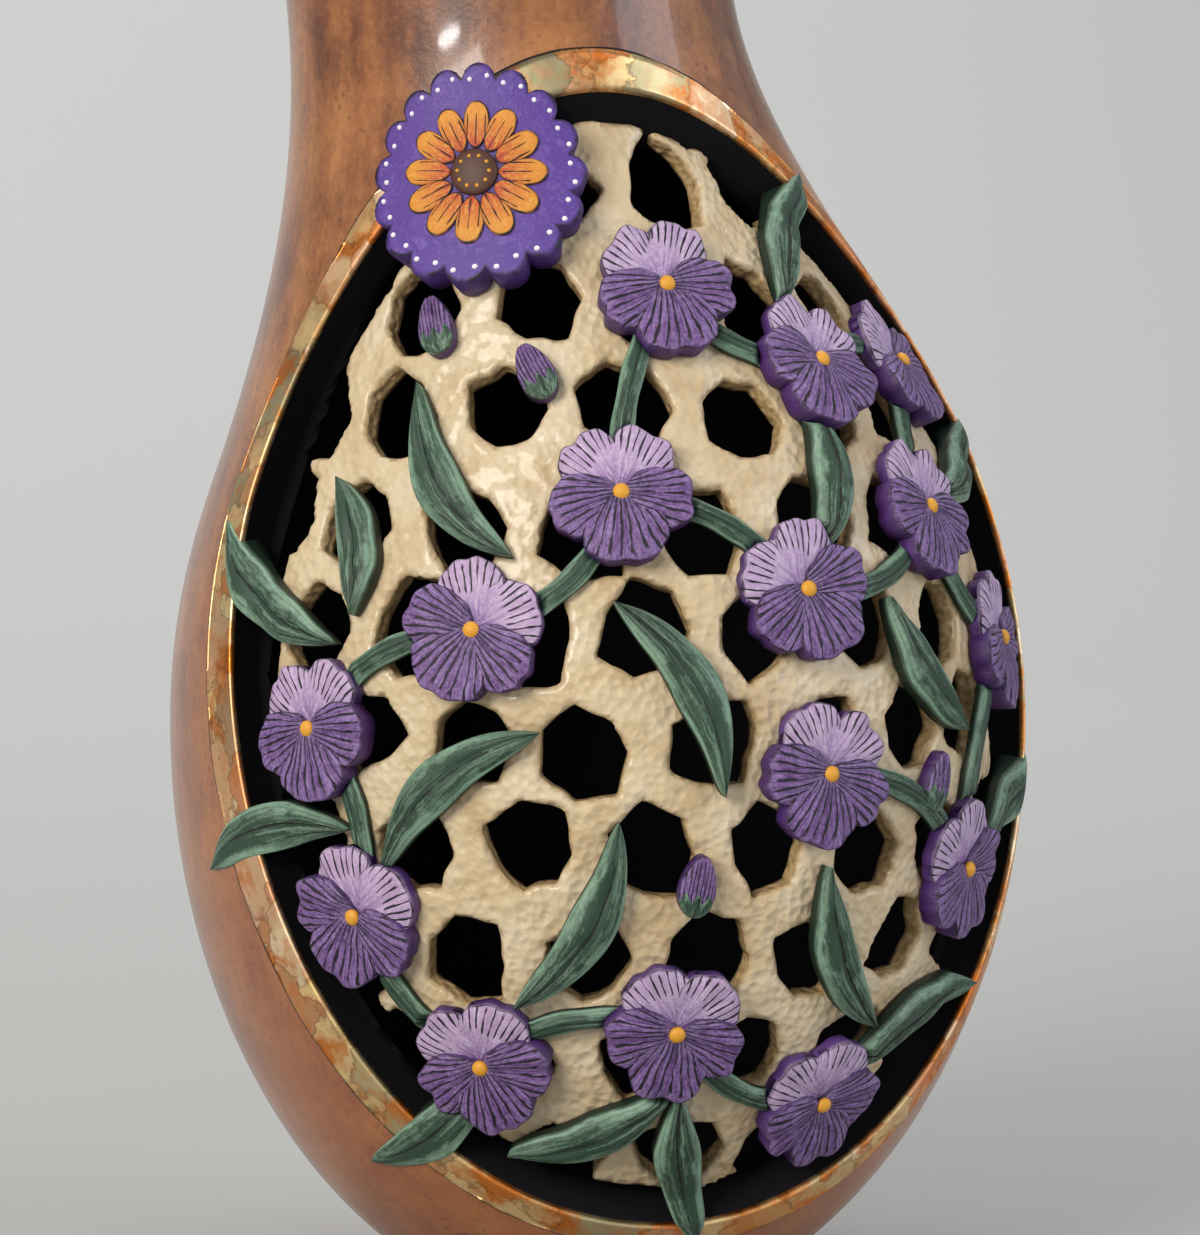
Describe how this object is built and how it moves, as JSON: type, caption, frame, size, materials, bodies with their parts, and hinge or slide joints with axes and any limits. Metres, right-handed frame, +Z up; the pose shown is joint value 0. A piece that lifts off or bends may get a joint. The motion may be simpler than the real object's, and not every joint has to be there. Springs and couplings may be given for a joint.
{
  "type": "carved gourd",
  "caption": "Carved gourd vase with an egg-shaped window edged in metal leaf, an openwork net and a garland of painted pansies",
  "frame": {"origin": "middle of the flat that the gourd stands on", "axes": "+Z up along the gourd, the window faces -Y, +X to the right as seen from the window"},
  "size_m": [0.24, 0.2392, 0.4802],
  "materials": {
    "dyed_gourd_rind": "gloss lacquer over leather dye",
    "dry_gourd_stem": "dry, fibrous",
    "variegated_metal_leaf": "burnished, varnished",
    "waxed_gourd_flesh": "stippled, waxed",
    "violet_painted_gourd": "dry-brushed acrylic, satin",
    "lilac_painted_gourd": "dry-brushed acrylic, satin",
    "green_painted_gourd": "dry-brushed acrylic, satin",
    "purple_painted_gourd": "acrylic, satin",
    "orange_painted_gourd": "acrylic, satin",
    "brown_burned_gourd": "burned, satin"
  },
  "bodies": {
    "root": {"bud_1": "lilac_painted_gourd", "bud_2": "lilac_painted_gourd", "bud_3": "lilac_painted_gourd", "bud_4": "lilac_painted_gourd", "dried_stem": "dry_gourd_stem", "gold_leaf_band": "variegated_metal_leaf", "gourd_shell": "dyed_gourd_rind", "leaf_1": "green_painted_gourd", "leaf_10": "green_painted_gourd", "leaf_11": "green_painted_gourd", "leaf_12": "green_painted_gourd", "leaf_13": "green_painted_gourd", "leaf_14": "green_painted_gourd", "leaf_15": "green_painted_gourd", "leaf_16": "green_painted_gourd", "leaf_17": "green_painted_gourd", "leaf_2": "green_painted_gourd", "leaf_3": "green_painted_gourd", "leaf_4": "green_painted_gourd", "leaf_5": "green_painted_gourd", "leaf_6": "green_painted_gourd", "leaf_7": "green_painted_gourd", "leaf_8": "green_painted_gourd", "leaf_9": "green_painted_gourd", "openwork_web": "waxed_gourd_flesh", "pansy_1": "violet_painted_gourd", "pansy_10": "violet_painted_gourd", "pansy_11": "violet_painted_gourd", "pansy_12": "violet_painted_gourd", "pansy_13": "violet_painted_gourd", "pansy_14": "violet_painted_gourd", "pansy_15": "violet_painted_gourd", "pansy_2": "violet_painted_gourd", "pansy_3": "violet_painted_gourd", "pansy_4": "violet_painted_gourd", "pansy_5": "violet_painted_gourd", "pansy_6": "violet_painted_gourd", "pansy_7": "violet_painted_gourd", "pansy_8": "violet_painted_gourd", "pansy_9": "violet_painted_gourd", "rosette_button": "brown_burned_gourd", "rosette_ground": "purple_painted_gourd", "rosette_petals": "orange_painted_gourd", "vine_1": "green_painted_gourd", "vine_10": "green_painted_gourd", "vine_11": "green_painted_gourd", "vine_12": "green_painted_gourd", "vine_13": "green_painted_gourd", "vine_14": "green_painted_gourd", "vine_15": "green_painted_gourd", "vine_2": "green_painted_gourd", "vine_3": "green_painted_gourd", "vine_4": "green_painted_gourd", "vine_5": "green_painted_gourd", "vine_6": "green_painted_gourd", "vine_7": "green_painted_gourd", "vine_8": "green_painted_gourd", "vine_9": "green_painted_gourd"}
  },
  "joints": []
}
